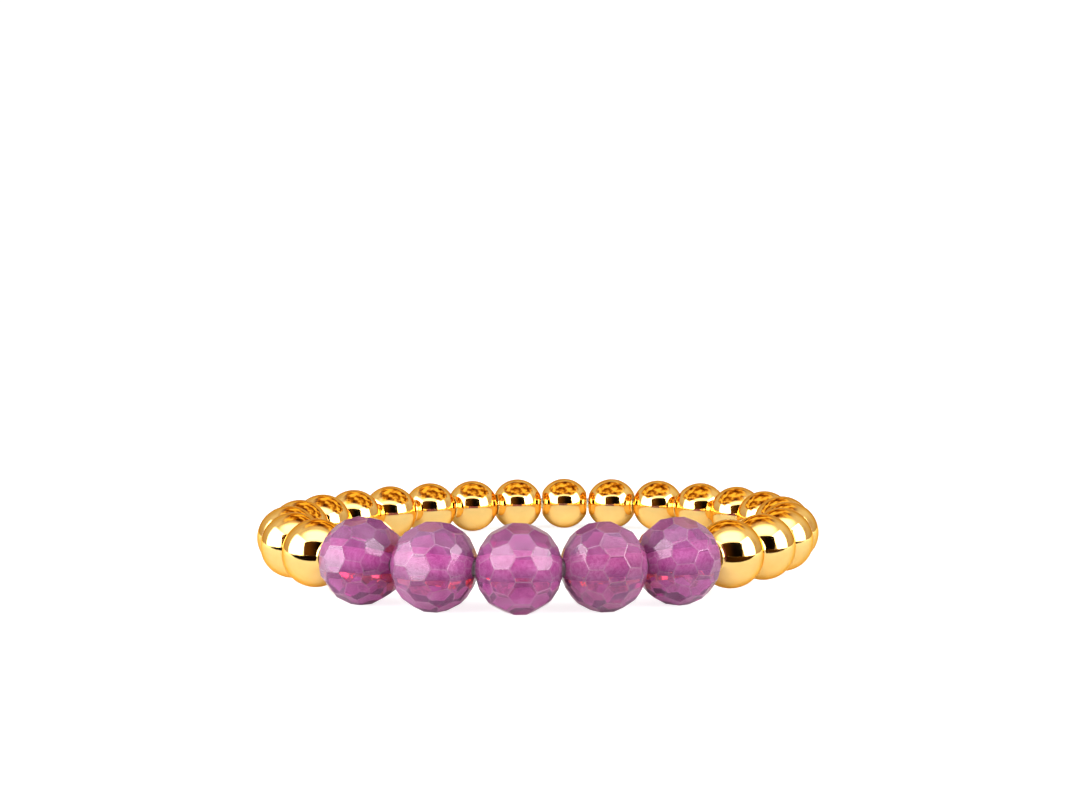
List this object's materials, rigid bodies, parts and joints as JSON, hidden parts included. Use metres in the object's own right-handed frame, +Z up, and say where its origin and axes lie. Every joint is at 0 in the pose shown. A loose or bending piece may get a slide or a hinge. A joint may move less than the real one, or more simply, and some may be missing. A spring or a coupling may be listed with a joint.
{
  "type": "beaded stretch ring",
  "caption": "Stretch ring of faceted translucent stones in front and polished gold balls round the rest, threaded on an elastic loop.",
  "frame": {"origin": "middle of the ring's outline seen from above, on the surface that the ring lies on", "axes": "+Z up, along the finger hole; +Y away from the faceted stones, which are in front; +X to the right as the stones are looked at"},
  "size_m": [0.0232, 0.0238, 0.0031],
  "materials": {
    "faceted_stone": "translucent plum stone, faceted and polished",
    "polished_gold": "pale yellow gold, mirror polished",
    "elastic": "clear jewellery elastic, smooth"
  },
  "bodies": {
    "root": {"gem_bead_1": "faceted_stone", "gem_bead_2": "faceted_stone", "gem_bead_3": "faceted_stone", "gem_bead_4": "faceted_stone", "gem_bead_5": "faceted_stone", "gold_bead_01": "polished_gold", "gold_bead_02": "polished_gold", "gold_bead_03": "polished_gold", "gold_bead_04": "polished_gold", "gold_bead_05": "polished_gold", "gold_bead_06": "polished_gold", "gold_bead_07": "polished_gold", "gold_bead_08": "polished_gold", "gold_bead_09": "polished_gold", "gold_bead_10": "polished_gold", "gold_bead_11": "polished_gold", "gold_bead_12": "polished_gold", "gold_bead_13": "polished_gold", "gold_bead_14": "polished_gold", "gold_bead_15": "polished_gold", "gold_bead_16": "polished_gold", "gold_bead_17": "polished_gold", "gold_bead_18": "polished_gold", "gold_bead_19": "polished_gold", "gold_bead_20": "polished_gold", "gold_bead_21": "polished_gold", "elastic_cord": "elastic"}
  },
  "joints": []
}
